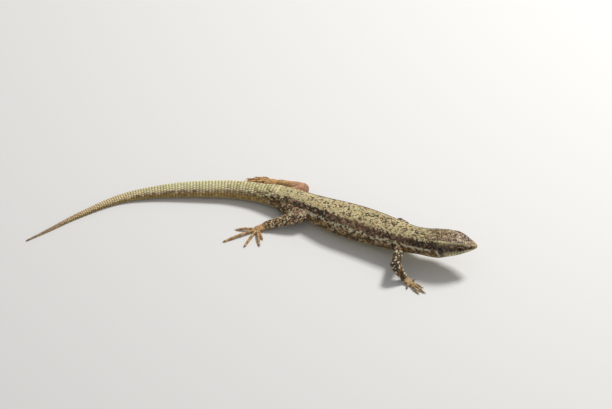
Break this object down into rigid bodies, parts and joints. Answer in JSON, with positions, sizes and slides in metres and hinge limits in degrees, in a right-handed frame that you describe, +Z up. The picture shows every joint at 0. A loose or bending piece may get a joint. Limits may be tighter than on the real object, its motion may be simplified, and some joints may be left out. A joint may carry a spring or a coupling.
{
  "type": "wall lizard",
  "caption": "Still, life-size model of a wall lizard lying on its belly, head raised on its front legs, hind legs bent and long tail laid on the floor in a curve.",
  "frame": {"origin": "on the floor, under the middle of the bounding box", "axes": "+X from the tip of the tail towards the snout, +Y to the lizard's left, +Z up"},
  "size_m": [0.143, 0.0564, 0.0127],
  "materials": {
    "skin_head": "smooth horny shields, copper brown with dark flecks, satin",
    "skin_back": "fine round scales, olive green with dark flecks and a dark brown band along the flank, satin",
    "skin_limb": "fine scales, brown with cream spots, tan on the feet, satin",
    "skin_tail": "rings of long keeled scales, yellow green turning ochre towards the tip, satin",
    "eye": "wet gloss, black pupil in a copper brown iris",
    "eardrum": "thin smooth skin, dark brown"
  },
  "bodies": {
    "root": {"head": "skin_head", "lower_jaw": "skin_head", "eye_right": "eye", "eye_left": "eye", "ear_right": "eardrum", "ear_left": "eardrum", "neck": "skin_back", "chest": "skin_back", "belly": "skin_back", "hips": "skin_back", "tail_root": "skin_tail", "tail_upper": "skin_tail", "tail_middle": "skin_tail", "tail_lower": "skin_tail", "tail_tip": "skin_tail", "foreleg_right_upper_arm": "skin_limb", "foreleg_right_forearm": "skin_limb", "foreleg_right_hand": "skin_limb", "foreleg_left_upper_arm": "skin_limb", "foreleg_left_forearm": "skin_limb", "foreleg_left_hand": "skin_limb", "hindleg_right_thigh": "skin_limb", "hindleg_right_shank": "skin_limb", "hindleg_right_foot": "skin_limb", "hindleg_left_thigh": "skin_limb", "hindleg_left_shank": "skin_limb", "hindleg_left_foot": "skin_limb"}
  },
  "joints": []
}
